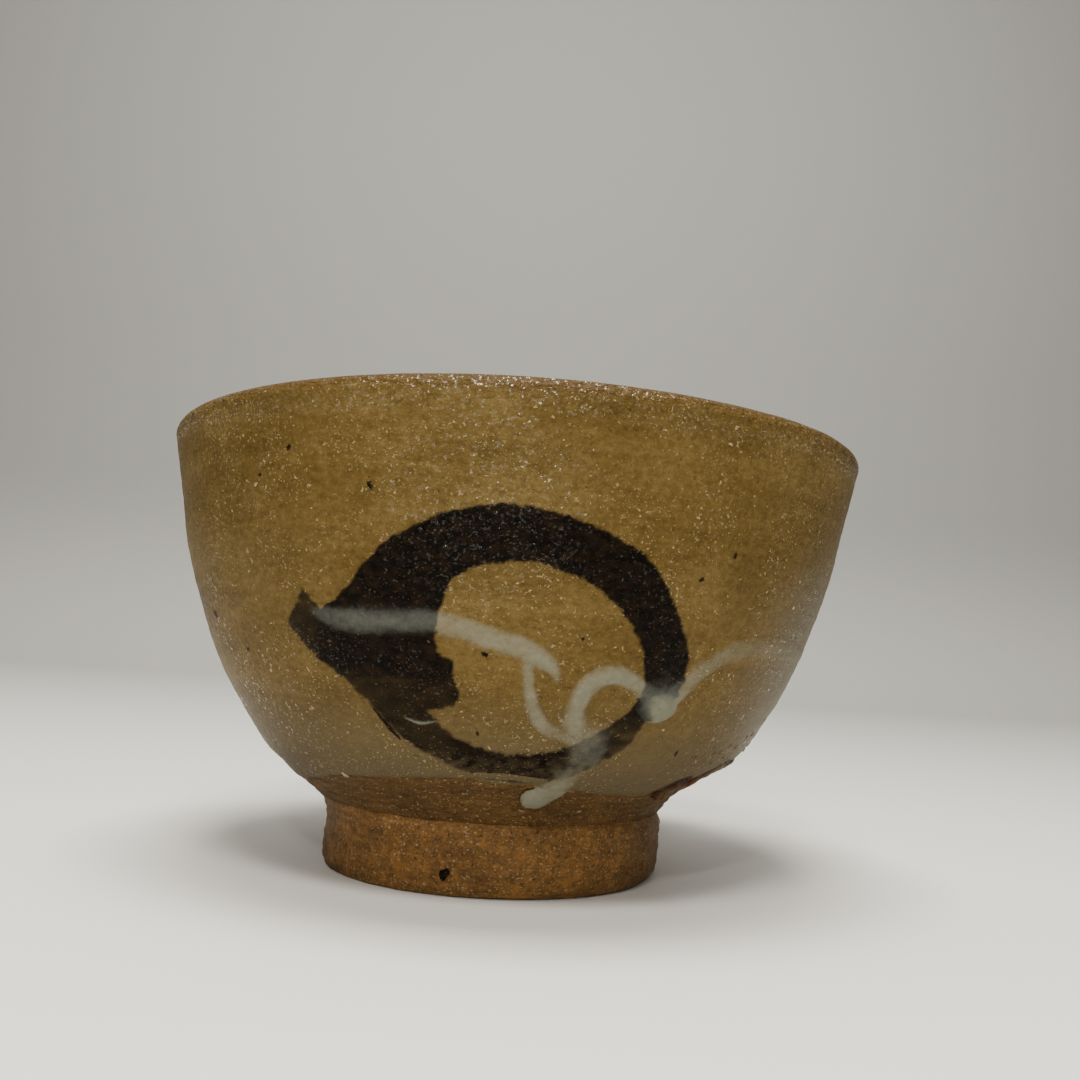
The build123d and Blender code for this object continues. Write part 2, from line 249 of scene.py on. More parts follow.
def turned(rings, columns, shape):
    """Points and faces of a surface of revolution with its own relief. rings is a list of
    (radius, height, dr, dz) with dr, dz the outward direction, and shape(bearing, ring index)
    gives the relief in mm."""
    rings = np.array(rings, float)
    bearing = np.linspace(-180, 180, columns, endpoint=False)
    b, k = np.meshgrid(bearing, np.arange(len(rings)))
    relief = shape(b, k)
    r = rings[k, 0] + rings[k, 2] * relief
    z = rings[k, 1] + rings[k, 3] * relief
    a = np.radians(b)
    points = np.stack([r * np.sin(a), -r * np.cos(a), z], -1).reshape(-1, 3)
    return points, grid_faces(len(rings), columns, True).tolist()


def profile_rings(curve, flip=1):
    """Rings along a (radius, height) curve with the direction square to it, which flip=-1
    turns to the curve's other side."""
    along = np.gradient(np.array(curve, float), axis=0)
    along /= np.maximum(np.hypot(along[:, 0], along[:, 1]), 1e-9)[:, None]
    return np.column_stack([curve, flip * along[:, 1], -flip * along[:, 0]])


def patch(bearing, u_range, z_range, step, field):
    """A patch that follows the outside, on a grid of (across, height) seen square from a
    bearing. field(u, z, around) gets each point's place and its bearing, and returns its
    height over the glaze in mm, whether it's wanted, and its fields."""
    u, z = np.meshgrid(np.arange(*u_range, step), np.arange(*z_range, step))
    rows, columns = u.shape
    u, z = u.ravel(), z.ravel()
    around = np.degrees(np.arcsin(np.clip(u / radius_at(z), -0.98, 0.98))) + bearing
    height, wanted, fields = field(u, z, around)
    faces = grid_faces(rows, columns, False)
    faces = faces[wanted[faces].any(1)]
    used, index = np.unique(faces, return_inverse=True)
    points = on_wall(around[used], z[used], height[used])
    return points, index.reshape(-1, 4).tolist(), {k: v[used] for k, v in fields.items()}


def distance_to_curve(u, z, curve):
    """Distance to a sampled curve, and the nearest sample's other values (columns 2 on)."""
    best = np.full(len(u), 1e9)
    near = np.zeros((len(u), curve.shape[1] - 2))
    for i in range(len(curve) - 1):
        a, b = curve[i], curve[i + 1]
        ab = b[:2] - a[:2]
        t = ((u - a[0]) * ab[0] + (z - a[1]) * ab[1]) / max(ab @ ab, 1e-9)
        t = np.clip(t, 0, 1)
        d = np.hypot(u - a[0] - t * ab[0], z - a[1] - t * ab[1])
        closer = d < best
        best = np.where(closer, d, best)
        near[closer] = a[2:] + t[closer, None] * (b[2:] - a[2:])
    return best, near


def inside_outline(u, z, outline):
    """Which points lie inside a closed outline."""
    result = np.zeros(len(u), bool)
    for (x0, y0), (x1, y1) in zip(outline, np.roll(outline, -1, axis=0)):
        crosses = (y0 > z) != (y1 > z)
        x = (x1 - x0) * (z - y0) / (y1 - y0 if y1 != y0 else 1e-9) + x0
        result ^= crosses & (u < x)
    return result


def depth_in_outline(u, z, outline):
    """Distance to an outline in mm, positive inside it and negative outside."""
    closed = np.vstack([outline, outline[:1]])
    d, _ = distance_to_curve(u, z, closed)
    return np.where(inside_outline(u, z, outline), d, -d)


def joined(parts):
    """Several meshes as one: (points, faces), or (points, faces, fields)."""
    points, faces, fields, count = [], [], {}, 0
    for part_points, part_faces, *part_fields in parts:
        points.append(part_points)
        faces += [[i + count for i in face] for face in part_faces]
        for named in part_fields:
            for key, values in named.items():
                fields.setdefault(key, []).append(values)
        count += len(part_points)
    return np.vstack(points), faces, {k: np.concatenate(v) for k, v in fields.items()}


# ---- the brushed iron ring
# Its outlines as seen square from the front: (across, height).
RING_OUTSIDE = [
    (-26.3, 43), (-24, 44.2), (-19.9, 49.4), (-17, 52.3), (-11.2, 55.5), (-2, 57.7),
    (8, 56.5), (17.2, 53), (21, 49.7), (24.7, 43.6), (26.3, 38.8), (24.8, 33.3),
    (21, 29.2), (18, 25.1), (10.8, 20.9), (5.4, 19.6), (-0.4, 19.6), (-5.8, 21),
    (-14.2, 25.3), (-17.8, 28.9), (-21.8, 32.5), (-27.1, 36), (-31.2, 39.9), (-31.3, 41.4),
    (-30.4, 43.3), (-29.3, 43.6),
]
RING_HORN = [(-29.9, 44.4), (-29.2, 45.6), (-27.6, 44.2)]
RING_HOLE = [
    (-9.2, 42.8), (-7.6, 47.2), (-3.9, 49.3), (2, 50.2), (8, 49), (13.1, 46.5),
    (17.2, 42.6), (19.4, 37.7), (19, 32.3), (14.7, 28.4), (8.5, 24.9), (2, 24),
    (-4.1, 25), (-8, 27.2), (-10.2, 29.4),
]
RING_SCALLOPS = [
    (-8, 29.7), (-6.4, 30.4), (-5.8, 32.2), (-6.9, 34.7), (-7.1, 36.6), (-9.2, 38.2),
    (-9.3, 42),
]


def ring_outlines():
    """The ring's outer outline and its hole's, sampled finely."""
    outside = np.vstack([smooth_curve(RING_OUTSIDE, 0.4), RING_HORN])
    hole = np.vstack([smooth_curve(RING_HOLE, 0.4), smooth_curve(RING_SCALLOPS, 0.4)])
    return outside, hole


RING_EDGE, RING_INNER = ring_outlines()


def iron_depth(u, z):
    """How deep a front-view point lies inside the brushed ring, in mm."""
    outer = depth_in_outline(u, z, RING_EDGE)
    inner = depth_in_outline(u, z, RING_INNER)
    return np.minimum(outer, -inner)


def iron_cover(x, z, depth):
    """How much iron the brush left there, from 0 to 1. It's ragged at the outline and thinner
    at the lower right, along the bottom, in the lobe at the lower left and in the horn."""
    ragged = 0.22 * noise(x / 0.9, z / 0.7, 31) + 0.14 * noise(x / 0.35, z / 0.3, 32)
    lower_right = fade(x, 6, 15) * fade(31 - z, 0, 5)
    worn = lower_right * (0.55 + 0.6 * noise(x / 1.7 + z / 5, z / 0.9, 33))
    bottom = fade(24.5 - z, 0, 3) * (0.2 + 0.3 * noise(x / 0.8, z / 0.6, 34))
    lower_left = fade(35 - z, 0, 2.5) * fade(-4 - x, 0, 4)
    lobe = lower_left * (0.1 + 0.08 * noise(x / 3, z / 1.2, 36))
    horn = fade(-25 - x, 0, 4) * (0.13 + 0.08 * noise(x / 1.5, z / 1.5, 37))
    thin = np.clip(0.5 * worn, 0, 0.6) + np.clip(bottom, 0, 0.35) + lobe + horn
    cover = fade(depth + ragged, -0.12, 0.32)
    return np.clip(cover * (1 - thin), 0, 1)


# ---- poured white trails
# Stations of a trail: (across, height, half width, thickness, whiteness), in mm and 0 to 1,
# seen square from the trail's bearing.
TRAIL_UPPER = [
    (-27.2, 42.6, 0.7, 0.08, 0.3), (-25.9, 42.1, 1.1, 0.15, 0.45),
    (-22.5, 41.5, 1.7, 0.25, 0.62), (-18.6, 41.5, 1.8, 0.28, 0.62),
    (-14.5, 41.6, 1.7, 0.28, 0.66), (-10.4, 41.6, 1.6, 0.28, 0.6), (-6.2, 41, 1.5, 0.26, 0.62),
    (-2.1, 39.9, 1.5, 0.3, 0.74), (1.6, 39, 1.5, 0.34, 0.8), (4.6, 37.9, 1.4, 0.34, 0.78),
    (6.7, 36.3, 1, 0.24, 0.62), (7.5, 34.6, 0.5, 0.1, 0.35),
]
TRAIL_MIDDLE = [
    (3.2, 38.2, 0.6, 0.1, 0.4), (3.2, 36.4, 0.8, 0.18, 0.55), (3.7, 33.3, 0.9, 0.24, 0.64),
    (4.6, 30.3, 1.1, 0.26, 0.66), (6.1, 28, 1.2, 0.24, 0.6), (8.8, 26.7, 0.8, 0.14, 0.42),
    (11.5, 25.8, 0.5, 0.08, 0.3),
]
TRAIL_HAZE = [
    (9.5, 29, 1.6, 0.1, 0.34), (11.5, 27.2, 2.6, 0.14, 0.4), (12.8, 25.6, 2.6, 0.14, 0.4),
]
TRAIL_RUN = [
    (15.6, 28.4, 1.3, 0.1, 0.14), (14.4, 26.8, 2.1, 0.18, 0.22), (12.3, 24, 2.4, 0.22, 0.25),
    (10.7, 21.1, 2.2, 0.28, 0.38), (9.2, 18.6, 1.9, 0.4, 0.68), (7.6, 16.9, 1.8, 0.62, 0.84),
]
TRAIL_LOOP = [
    (10.6, 28.2, 1.1, 0.2, 0.55), (10.4, 30.6, 1.3, 0.4, 0.8), (11.2, 33.1, 1.4, 0.46, 0.84),
    (12.8, 35, 1.4, 0.46, 0.86), (14.9, 35.9, 1.4, 0.46, 0.86), (17.6, 35.3, 1.3, 0.4, 0.82),
    (19.9, 33.8, 1.2, 0.3, 0.72), (22, 32.2, 1.3, 0.12, 0.6),
]
RIGHT_BEARING = 45  # the right trail and its film are seen square from here
TRAIL_RIGHT = [
    (-14.4, 31.5, 1.8, 0.8, 0.95), (-12.9, 33.1, 1.6, 0.55, 0.7),
    (-11.6, 35.3, 1.7, 0.4, 0.56), (-10, 37.4, 1.7, 0.34, 0.48), (-7.6, 39.2, 1.7, 0.3, 0.43),
    (-4, 40.4, 1.8, 0.24, 0.38), (0.8, 40.9, 1.9, 0.2, 0.31), (8.2, 40.8, 1.9, 0.16, 0.3),
    (15, 40.5, 1.8, 0.12, 0.27), (20, 40.3, 1.6, 0.08, 0.22), (26, 40, 0.8, 0.06, 0.15),
]
FILM_RIGHT = [
    (-16.4, 38, 1.8, 0.01, 0.04), (-16.2, 36.2, 2.6, 0.02, 0.14),
    (-16, 34.6, 2.9, 0.05, 0.3), (-15.8, 33, 2.6, 0.1, 0.45),
]
DROP_RIGHT = (-14.4, 31.5, 2.8, 1.05, 1.0)
DROP_LOWER = (7.1, 16.8, 2.1, 0.95, 1.0)
FLECK = [
    (-13.5, 28.2, 0.1, 0.08, 0.8),
    (-11.3, 27.6, 0.26, 0.14, 0.9),
    (-9.1, 28, 0.12, 0.08, 0.8),
]
POUR_MARGIN = 0.8  # how far a pour's film goes past it


def trail_layer(u, z, stations):
    """One pour's thickness and whiteness at each point, and the point's distance outside it.
    A single station is a drop."""
    if len(stations) == 1:
        x, y, half, thick, white = stations[0]
        d = np.hypot(u - x, (z - y) * 1.4)
        near = np.tile([half, thick, white], (len(u), 1))
    else:
        curve = smooth_curve(stations, 0.5)
        d, near = distance_to_curve(u, z, curve)
    waves = 0.1 * noise(u / 1.6, z / 1.6, 41)
    half = near[:, 0] * (1 + waves + 0.06 * noise(u / 0.6, z / 0.6, 42))
    across = d / np.maximum(half, 0.05)
    dome = np.sqrt(np.clip(1 - np.clip(across, 0, 1) ** 2, 0, 1))
    thick = near[:, 1] * dome
    soft = fade(1.6 - across, 0.0, 1.45)
    white = near[:, 2] * soft * (1 + 0.22 * noise(u / 2.6, z / 1.3, 43))
    return thick, white, d - half


def seen_from_front(stations, bearing):
    """Stations that lie square to a bearing, as places in front view."""
    moved = []
    for across, z, *rest in stations:
        around = radians(bearing) + asin(across / radius_at(z))
        moved.append((radius_at(z) * sin(around), z, *rest))
    return moved


def poured(layers, beside):
    """The field of a piece made of several pours that ran together. beside lists the other
    pieces' pours in front view: their white shows in this one where they run into it."""
    front = 50  # the ring lies between the bearings -front and front

    def film(gap):
        return fade(POUR_MARGIN - gap, 0.0, POUR_MARGIN / 2)

    def field(u, z, around):
        thick = np.zeros(len(u))
        clear = np.ones(len(u))  # how much of the glaze below still shows
        gap = np.full(len(u), 1e9)  # distance to the nearest of the piece's own pours
        for stations in layers:
            t, w, outside = trail_layer(u, z, stations)
            thick = np.maximum(thick, t)
            clear = clear * (1 - np.clip(w, 0, 1))
            gap = np.minimum(gap, outside)
        x = radius_at(z) * np.sin(np.radians(around))
        joined_gap = gap
        for stations in beside:
            _, w, outside = trail_layer(x, z, stations)
            clear = clear * (1 - np.clip(w, 0, 1))
            joined_gap = np.minimum(joined_gap, outside)
        depth = iron_depth(x, z)
        depth[np.abs(around) > front] = -9
        cover = iron_cover(x, z, depth)
        over_iron = 0.06 * cover
        height = over_iron + thick + FILM * film(gap) - SUNK
        on_clay = z < edge_height(around)
        soft = np.where(on_clay, 1.0, film(joined_gap))
        white = np.where(on_clay, np.maximum(1 - clear, 0.8), 1 - clear)
        wanted = gap < np.where(on_clay, 0.05, POUR_MARGIN)
        return height, wanted, {"iron": cover, "white": white * soft}

    return field


# ---- materials


class Shader:
    """Builds a node material step by step. Values are plain numbers or other nodes' outputs."""

    def __init__(self, name):
        self.material = bpy.data.materials.new(name)
        self.material.use_nodes = True
        self.tree = self.material.node_tree
        self.tree.nodes.clear()
        self.bsdf = self.add("ShaderNodeBsdfPrincipled")
        self.add("ShaderNodeOutputMaterial", {"Surface": self.bsdf.outputs[0]})
        self.place = self.add("ShaderNodeTexCoord").outputs["Object"]

    def fill(self, node, inputs):
        """Links or sets a node's inputs, which are given by name or number."""
        for key, value in inputs.items():
            if isinstance(value, bpy.types.NodeSocket):
                self.tree.links.new(value, node.inputs[key])
            else:
                node.inputs[key].default_value = value

    def add(self, kind, inputs=None, **settings):
        """A new node with some of its inputs filled and some of its properties set."""
        node = self.tree.nodes.new(kind)
        for key, value in settings.items():
            setattr(node, key, value)
        self.fill(node, inputs or {})
        return node

    def math(self, operation, a, b=0.0, c=0.0, clamp=False):
        inputs = {0: a, 1: b, 2: c}
        node = self.add("ShaderNodeMath", inputs, operation=operation, use_clamp=clamp)
        return node.outputs[0]

    def times(self, a, b):
        return self.math("MULTIPLY", a, b)

    def weighed(self, *terms):
        """The sum of (value, weight) pairs."""
        total = 0.0
        for value, weight in terms:
            total = self.math("MULTIPLY_ADD", value, weight, total)
        return total

    def span(self, value, low, high, to_low=0.0, to_high=1.0):
        """Goes smoothly from to_low to to_high as the value goes from low to high."""
        inputs = {0: value, 1: low, 2: high, 3: to_low, 4: to_high}
        node = self.add("ShaderNodeMapRange", inputs, interpolation_type="SMOOTHSTEP")
        return node.outputs[0]

    def scaled(self, x, y, z, shift=0.0):
        """Object coordinates in cells of x, y and z millimetres."""
        size = (1 / (x * MM), 1 / (y * MM), 1 / (z * MM))
        start = (shift, shift * 0.7, shift * 1.3)
        inputs = {"Vector": self.place, "Scale": size, "Location": start}
        return self.add("ShaderNodeMapping", inputs).outputs[0]

    def noise(self, place, detail=2.0, rough=0.5, warp=0.0):
        """Noise with one cell per unit of the place, mostly between 0.3 and 0.7."""
        inputs = {"Vector": place, "Scale": 1.0, "Detail": detail}
        inputs.update({"Roughness": rough, "Distortion": warp})
        return self.add("ShaderNodeTexNoise", inputs).outputs["Fac"]

    def specks(self, size, shift, threshold):
        """Uneven specks of about half that size in mm, fewer for a higher threshold."""
        value = self.noise(self.scaled(size, size, size * 0.85, shift), detail=1.0)
        softness = 0.045
        return self.span(value, threshold, threshold + softness)

    def height(self):
        """Height over the table in metres."""
        return self.add("ShaderNodeSeparateXYZ", {0: self.place}).outputs["Z"]

    def distance(self, centre):
        """Distance in metres from a place given in millimetres."""
        inputs = {0: self.place, 1: [c * MM for c in centre]}
        return self.add("ShaderNodeVectorMath", inputs, operation="DISTANCE").outputs["Value"]

    def field(self, name):
        """The mesh's own point attribute of that name, 0 where it has none."""
        return self.add("ShaderNodeAttribute", attribute_name=name).outputs["Fac"]

    def ramp(self, fac, stops):
        """A colour ramp through (position, colour) stops."""
        node = self.add("ShaderNodeValToRGB", {0: fac})
        elements = node.color_ramp.elements
        while len(elements) < len(stops):
            elements.new(0.5)
        for element, (place, colour) in zip(elements, stops):
            element.position = place
            element.color = (*colour, 1)
        return node.outputs[0]

    def mix(self, fac, a, b):
        """Colour a where fac is 0, and b where it's 1."""
        node = self.add("ShaderNodeMix", {0: fac}, data_type="RGBA")
        colours = [i for i, s in enumerate(node.inputs) if s.type == "RGBA"]
        for i, value in zip(colours, (a, b)):
            linked = isinstance(value, bpy.types.NodeSocket)
            self.fill(node, {i: value if linked else (*value, 1)})
        return next(s for s in node.outputs if s.type == "RGBA")

    def surface(self, colour, rough, level=0.5, coat=0.0, coat_rough=0.03):
        """The colour, the body's even gloss, and a glassy coat where the coat's value is high."""
        inputs = {"Base Color": colour, "Roughness": rough, "Specular IOR Level": level}
        inputs.update({"Coat Weight": coat, "Coat Roughness": coat_rough})
        self.fill(self.bsdf, inputs)

    def bumps(self, *layers):
        """Stacks (height, strength, millimetres) bumps and feeds the surface's normals."""
        normal = {}
        for value, strength, deep in layers:
            inputs = {"Height": value, "Strength": strength, "Distance": deep * MM, **normal}
            normal = {"Normal": self.add("ShaderNodeBump", inputs).outputs[0]}
        self.fill(self.bsdf, {"Coat Normal": normal["Normal"], **normal})


# Colours are linear.
AMBER_DARK = (0.06, 0.036, 0.0075)
AMBER = (0.099, 0.0635, 0.017)
AMBER_LIGHT = (0.158, 0.108, 0.036)
AMBER_FLOOR_REFLECTION = (0.079, 0.062, 0.036)
AMBER_PAINTED_SHEEN = (0.104, 0.091, 0.062)
LIP_BROWN = (0.066, 0.037, 0.011)
IRON = (0.0014, 0.0007, 0.0003)
IRON_THIN = (0.0105, 0.0056, 0.002)
IRON_SPECK = (0.04, 0.019, 0.006)
GRAIN_IN_IRON = (0.16, 0.125, 0.08)
GRAIN_PALE = (0.42, 0.32, 0.16)
GRAIN_GOLD = (0.26, 0.175, 0.06)
CREAM = (0.18, 0.176, 0.128)
CREAM_ON_IRON = (0.084, 0.087, 0.074)
CREAM_THICK = (0.145, 0.147, 0.105)
CLAY = (0.086, 0.044, 0.012)
CLAY_TORN = (0.082, 0.03, 0.01)
CLAY_SPECK = (0.02, 0.009, 0.004)
CLAY_SAND = (0.4, 0.29, 0.17)
FELDSPAR_CLOUDY = (0.12, 0.08, 0.035)
FELDSPAR_PALE = (0.34, 0.27, 0.16)
FLOOR_PALE = (0.82, 0.8, 0.745)
WALL_GREY = (0.52, 0.51, 0.48)
# Places on the coat in mm: the middle of the painted grey sheen at the right, and the ripples
# over the ring's top.
PAINTED_SHEEN_PLACE = (50, -21, 39)
RIPPLED_PLACE = (-4, -57, 59)


def amber(s):
    """The amber glaze's colour with its throwing streaks, clouds, sand and specks, a painted
    reflection of the floor that greys the lower belly, and a painted grey sheen at the right.
    The streaks are returned too, for the bumps."""
    streaks = s.noise(s.scaled(6, 6, 0.7), detail=3, rough=0.6, warp=0.3)
    bands = s.noise(s.scaled(30, 30, 5.0, shift=3), warp=0.3)
    clouds = s.noise(s.scaled(12, 12, 8, shift=9), detail=4, rough=0.6)
    mottle = s.noise(s.scaled(1.3, 1.3, 0.9, shift=7), detail=4, rough=0.72)
    sand = s.noise(s.scaled(0.45, 0.45, 0.38, shift=2), rough=0.7)
    sand = s.math("SUBTRACT", sand, 0.5)
    tone = s.weighed((streaks, 0.12), (bands, 0.2), (clouds, 0.24), (mottle, 0.44), (sand, 0.13))
    base = s.ramp(tone, [(0.36, AMBER_DARK), (0.5, AMBER), (0.66, AMBER_LIGHT)])
    lip = s.span(s.height(), (TOP - 3.2) * MM, (TOP - 0.3) * MM, 0.0, 0.8)
    base = s.mix(lip, base, LIP_BROWN)
    # Painted reflection: the lower belly is greyed towards the bottom as if it mirrored the pale
    # floor.
    painted_floor_reflection = s.span(s.height(), 18 * MM, 36 * MM, 0.8, 0.0)
    base = s.mix(painted_floor_reflection, base, AMBER_FLOOR_REFLECTION)
    # Painted sheen: the right side is greyed round a fixed place as if it mirrored the pale floor
    # and wall.
    painted_sheen = s.span(s.distance(PAINTED_SHEEN_PLACE), 6 * MM, 27 * MM, 0.72, 0.0)
    base = s.mix(painted_sheen, base, AMBER_PAINTED_SHEEN)
    dark = s.specks(0.62, shift=5, threshold=0.69)
    base = s.mix(s.times(dark, 0.5), base, IRON_SPECK)
    return base, streaks


def pale_grains(s):
    """Fine and coarse pale grains under the glaze, from 0 to 1, thicker in some clouds."""
    clouds = s.noise(s.scaled(10, 10, 10, shift=14))
    fine = s.specks(0.42, shift=1, threshold=0.648)
    fine = s.times(fine, s.span(clouds, 0.42, 0.62, 0.08, 0.8))
    coarse = s.specks(0.75, shift=4, threshold=0.715)
    return s.math("MAXIMUM", fine, coarse)


def glaze(name, iron=False, white=False, bare=False):
    """Glossy amber glaze. iron, white and bare mix in the brushed iron, the poured white and
    the torn clay, as the piece's own fields of those names say. On the torn edge the iron
    field also carries painted shade in the cracks."""
    s = Shader(name)
    base, streaks = amber(s)
    grains = pale_grains(s)
    pools = s.noise(s.scaled(9, 9, 7, shift=27))
    melted = s.specks(0.55, shift=23, threshold=0.645)
    melted = s.times(melted, s.span(pools, 0.47, 0.6, 0.05, 1.0))
    base = s.mix(s.times(melted, 0.6), base, GRAIN_GOLD)
    base = s.mix(s.times(grains, 0.62), base, GRAIN_PALE)
    if bare:
        torn = s.mix(s.times(grains, 0.35), CLAY_TORN, CLAY)
        base = s.mix(s.field("bare"), base, torn)
    if iron:
        blotch = s.noise(s.scaled(1.6, 1.6, 1.0, shift=6), detail=4, rough=0.65)
        black = s.ramp(blotch, [(0.42, IRON), (0.66, IRON_THIN)])
        black = s.mix(s.times(grains, 0.28), black, GRAIN_IN_IRON)
        base = s.mix(s.field("iron"), base, black)
    if white:
        cloth = s.noise(s.scaled(1.1, 1.1, 0.9, shift=8), detail=4, rough=0.68)
        amount = s.math("MULTIPLY_ADD", s.math("SUBTRACT", cloth, 0.5), 0.9, s.field("white"))
        amount = s.math("MULTIPLY", amount, s.span(s.field("white"), 0.0, 0.45), clamp=True)
        tint = s.mix(s.field("iron"), CREAM, CREAM_ON_IRON)
        tint = s.mix(s.span(s.field("white"), 0.72, 1.0), tint, CREAM_THICK)
        base = s.mix(amount, base, tint)
    # The glaze lies in wet, rippled ridges under the lip and over the ring's top.
    near_lip = s.span(s.height(), (TOP - 6.0) * MM, (TOP - 3.0) * MM)
    over_ring = s.span(s.distance(RIPPLED_PLACE), 7 * MM, 19 * MM, 0.75, 0.0)
    wet = s.math("MAXIMUM", near_lip, over_ring)
    sparkle = s.times(wet, s.specks(0.6, shift=31, threshold=0.6))
    shine = s.span(s.math("MAXIMUM", melted, sparkle), 0.0, 0.5)
    if iron:
        shine = s.times(shine, s.span(s.field("iron"), 0.0, 1.0, 1.0, 0.45))
    s.surface(base, rough=0.44, level=0.045, coat=shine, coat_rough=0.12)
    lumps = s.noise(s.scaled(1.9, 1.9, 1.3, shift=18))
    peel = s.noise(s.scaled(0.62, 0.62, 0.5, shift=15), rough=0.55)
    ridges = s.noise(s.scaled(1.5, 1.5, 0.95, shift=33), rough=0.6)
    s.bumps(
        (streaks, 0.2, 0.1),
        (lumps, 0.5, 0.3),
        (peel, 0.5, 0.2),
        (s.times(ridges, wet), 1.0, 0.75),
        (s.math("MAXIMUM", grains, melted), 0.9, 0.15),
    )
    return s.material


def clay(name, red, tone):
    """Bare fired clay, sandy and red-brown, with the trimming tool's fine lines. red and tone
    scale its redness and its brightness."""
    s = Shader(name)
    lines = s.noise(s.scaled(14, 14, 0.5), detail=3, rough=0.6, warp=0.2)
    clouds = s.noise(s.scaled(7, 7, 4.0, shift=3), detail=4, rough=0.62)
    mottle = s.noise(s.scaled(1.2, 1.2, 1.0, shift=5), detail=4, rough=0.72)
    sand = s.noise(s.scaled(0.45, 0.45, 0.42, shift=6), detail=3, rough=0.7)
    shade = s.weighed((clouds, 0.3), (lines, 0.06), (mottle, 0.38), (sand, 0.26))
    body = tuple(c * tone for c in CLAY)
    deep = tuple(c * 0.45 for c in body)
    warm = (body[0] * 1.9 * red, body[1] * 1.8, body[2] * 1.6)
    base = s.ramp(shade, [(0.39, deep), (0.5, body), (0.62, warm)])
    pale = s.specks(0.42, shift=2, threshold=0.648)
    dark = s.specks(0.7, shift=9, threshold=0.675)
    base = s.mix(s.times(dark, 0.55), base, CLAY_SPECK)
    base = s.mix(s.times(pale, 0.48), base, CLAY_SAND)
    shine = s.span(pale, 0.0, 0.8, 0.0, 0.9)
    s.surface(base, rough=0.6, level=0.12, coat=shine, coat_rough=0.25)
    s.bumps(
        (lines, 0.4, 0.1),
        (mottle, 0.5, 0.2),
        (sand, 0.8, 0.24),
        (s.math("SUBTRACT", pale, dark), 0.6, 0.12),
    )
    return s.material


def feldspar():
    """Pale melted grains, a little cloudy."""
    s = Shader("feldspar")
    cloud = s.noise(s.scaled(0.6, 0.6, 0.6))
    s.surface(s.ramp(cloud, [(0.3, FELDSPAR_CLOUDY), (0.7, FELDSPAR_PALE)]), rough=0.3)
    s.bumps((cloud, 0.3, 0.1))
    return s.material


def sweep_material():
    """Plain pale floor that turns greyer up the wall behind."""
    s = Shader("pale_sweep")
    up_wall = s.span(s.height(), 0.0, 0.28)
    s.surface(s.ramp(up_wall, [(0.0, FLOOR_PALE), (1.0, WALL_GREY)]), rough=0.7)
    return s.material


amber_glaze = glaze("amber_glaze")
iron_paint = glaze("iron_paint", iron=True)
white_glaze = glaze("white_glaze", iron=True, white=True)
torn_glaze = glaze("torn_glaze", iron=True, bare=True)
bare_clay = clay("bare_clay", red=0.9, tone=0.82)
foot_clay = clay("foot_clay", red=1.05, tone=1.42)

# ---- the bowl's own surfaces
COLUMNS = 640  # points round the coat and the clay wall
TEAR_START, TEAR_END = 37, 76  # bearings between which the glaze edge is torn


def lip_arc(start, end, count):
    """Rings round the lip, from one angle to another in degrees. 0 faces outwards, 90 up."""
    rings = []
    for angle in np.radians(np.linspace(start, end, count)):
        out, up = cos(angle), sin(angle)
        rings.append((RIM - LIP + LIP * out, TOP - LIP + LIP * up, out, up))
    return rings


def outer_glaze_mesh():
    """From the wiped edge, where the glaze rolls down to the clay, over the lip, with painted
    shade of the crack along the torn edge.
    """
    bearing = np.linspace(-180, 180, COLUMNS, endpoint=False)
    low = edge_height(bearing)
    near_edge = 0.03  # the share of the wall that has closer rings, for the edge's roll
    share = np.concatenate([np.linspace(0, near_edge, 9)[:-1], np.linspace(near_edge, 1, 112)])
    b = np.tile(bearing, (len(share), 1))
    z = low + share[:, None] * (TOP - LIP - low)
    from_edge = z - low

    roll = 0.22 * bell(from_edge, 0.9, 0.7)
    roll *= 0.6 + 0.4 * around_noise(b, 0 * b, cells=40, height=1, seed=51)
    roll -= (COAT + 0.1) * (1 - fade(from_edge, 0.0, COAT))
    torn = fade(b, TEAR_START + 2, TEAR_START + 6) * fade(TEAR_END - b, 0, 5)
    roll *= 1 - 0.5 * torn
    wall = on_wall(b, z, roll).reshape(-1, 3)

    # A band along the torn edge: its bare field shows the clay's own colour, and its iron share
    # darkens it as painted shade of the crack.
    reach = 0.8 + 0.45 * around_noise(b, 0 * b, cells=70, height=1, seed=53)
    reach += 0.25 * around_noise(b, 0 * b, cells=260, height=1, seed=54)
    reach += 0.3 * fade(b, 50, 60)
    burnt = torn * fade(reach - from_edge, 0.0, 0.35)

    def relief(c, k):
        waves = 0.05 * around_noise(c, 0 * c + k, cells=90, height=4, seed=52)
        return thrown(c, np.full(c.shape, TOP - LIP)) + waves

    arc = lip_arc(0, 150, 14)[1:]
    lip, _ = turned(arc, COLUMNS, relief)
    burnt = np.concatenate([burnt.ravel(), np.zeros(len(lip))])
    faces = grid_faces(len(share) + len(arc), COLUMNS, True).tolist()
    return np.vstack([wall, lip]), faces, {"iron": 0.84 * burnt, "bare": burnt}


def inner_glaze_mesh():
    """The inside, from under the lip's edge down to the tea pool."""
    curve = smooth_curve(INSIDE, 0.62)
    arc = lip_arc(135, 172, 5)  # this laps a little under the outer coat's end
    rings = np.vstack([arc, profile_rings(curve[1:])])

    def relief(b, k):
        r, z = rings[k, 0], rings[k, 1]
        spiral = 0.1 * np.sin(r * 2 * pi / 5.5 + np.radians(b))
        swirl = spiral * fade(40 - r, 0, 12) * fade(r, 1, 8)
        sunk = 0.06 * (k < len(arc))
        return thrown(b, z, inside=True) * fade(r, 0, 20) + swirl - sunk

    return turned(rings, 480, relief)


